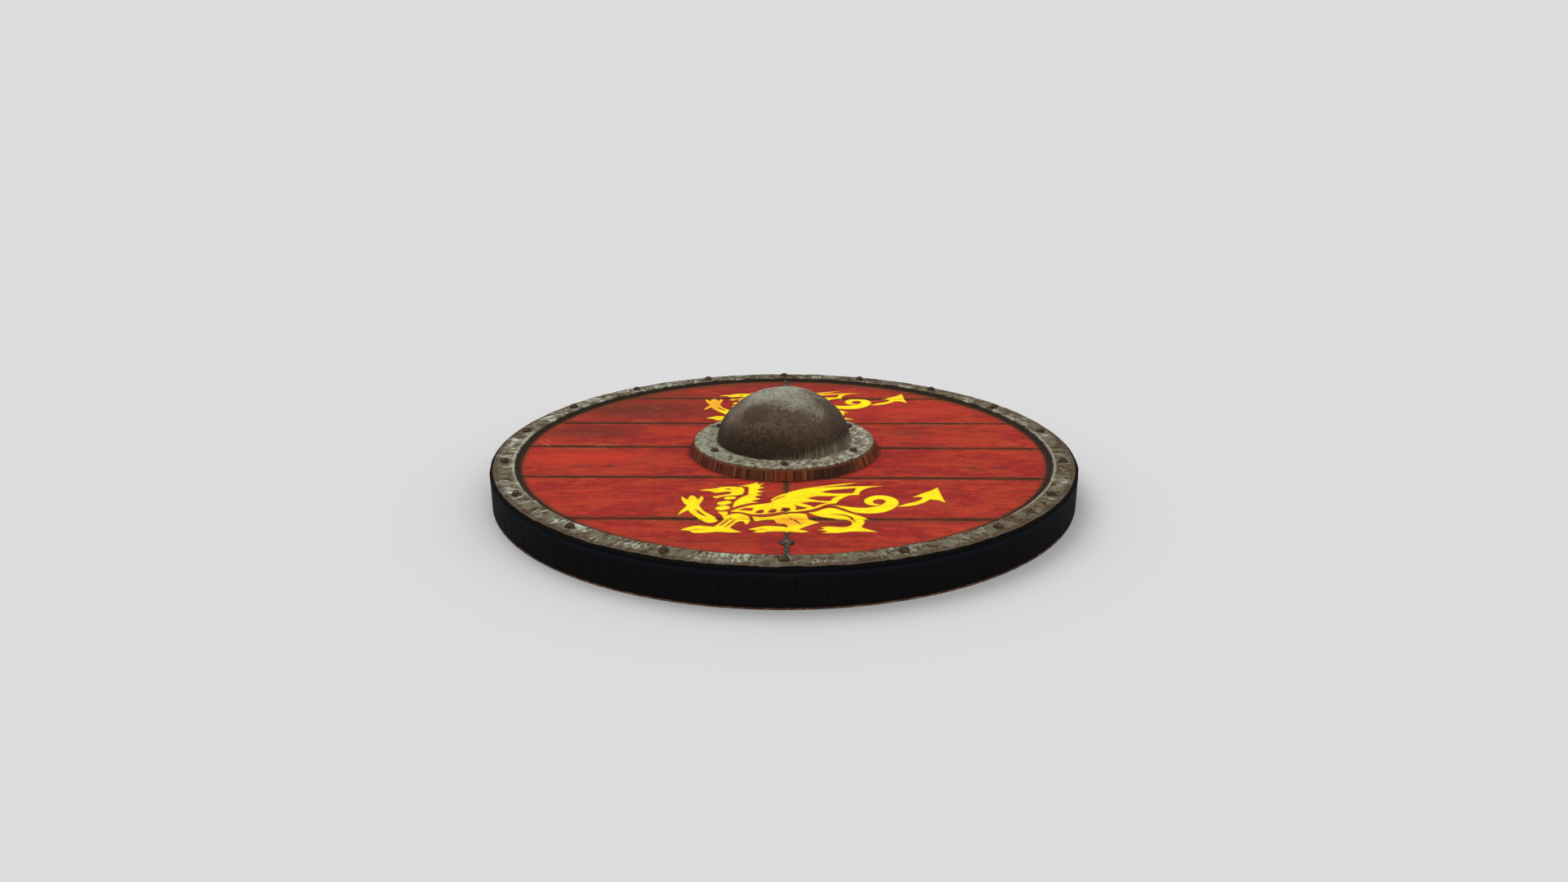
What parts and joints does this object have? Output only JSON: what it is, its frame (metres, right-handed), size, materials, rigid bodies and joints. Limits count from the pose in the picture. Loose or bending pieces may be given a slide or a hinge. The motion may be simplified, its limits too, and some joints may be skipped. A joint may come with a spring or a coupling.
{
  "type": "round shield",
  "caption": "Round plank shield with a deep wooden hoop, riveted iron rim band, domed iron boss on a wooden seat, and a grip bar behind the hand hole.",
  "frame": {"origin": "on the ground under the middle of the shield, which lies face up on its back band", "axes": "+Z out of the painted face, +X to the right along the boards, -Y towards the front edge that the viewer sees"},
  "size_m": [0.8, 0.8, 0.1321],
  "materials": {
    "red_paint": "worn red paint over grained boards, with a yellow painted dragon before and behind the boss",
    "black_wood": "blackened bent wood, faint upright grain",
    "seat_wood": "red-brown stained wood with dark upright streaks",
    "grip_wood": "plain oiled wood",
    "band_iron": "hammered grey-green iron with brown rust",
    "edge_iron": "brown rusted thin iron",
    "boss_iron": "dark brown hammered iron, rubbed grey on the crown and the flange",
    "rivet_iron": "dark red-brown forged iron",
    "tongue_iron": "dark forged iron"
  },
  "bodies": {
    "root": {"board_1": "red_paint", "board_2": "red_paint", "board_3": "red_paint", "board_4": "red_paint", "board_5": "red_paint", "board_6": "red_paint", "hoop": "black_wood", "ledge_ring": "grip_wood", "front_band": "band_iron", "back_band": "edge_iron", "boss_seat": "seat_wood", "boss": "boss_iron", "grip_bar": "grip_wood", "rim_rivet_01": "rivet_iron", "rim_rivet_02": "rivet_iron", "rim_rivet_03": "rivet_iron", "rim_rivet_04": "rivet_iron", "rim_rivet_05": "rivet_iron", "rim_rivet_06": "rivet_iron", "rim_rivet_07": "rivet_iron", "rim_rivet_08": "rivet_iron", "rim_rivet_09": "rivet_iron", "rim_rivet_10": "rivet_iron", "rim_rivet_11": "rivet_iron", "rim_rivet_12": "rivet_iron", "rim_rivet_13": "rivet_iron", "rim_rivet_14": "rivet_iron", "rim_rivet_15": "rivet_iron", "rim_rivet_16": "rivet_iron", "rim_rivet_17": "rivet_iron", "rim_rivet_18": "rivet_iron", "boss_rivet_1": "rivet_iron", "boss_rivet_2": "rivet_iron", "boss_rivet_3": "rivet_iron", "boss_rivet_4": "rivet_iron", "boss_rivet_5": "rivet_iron", "boss_rivet_6": "rivet_iron", "tongue_front": "tongue_iron", "tongue_back": "tongue_iron", "tongue_rivet_front": "rivet_iron", "tongue_rivet_back": "rivet_iron"}
  },
  "joints": []
}
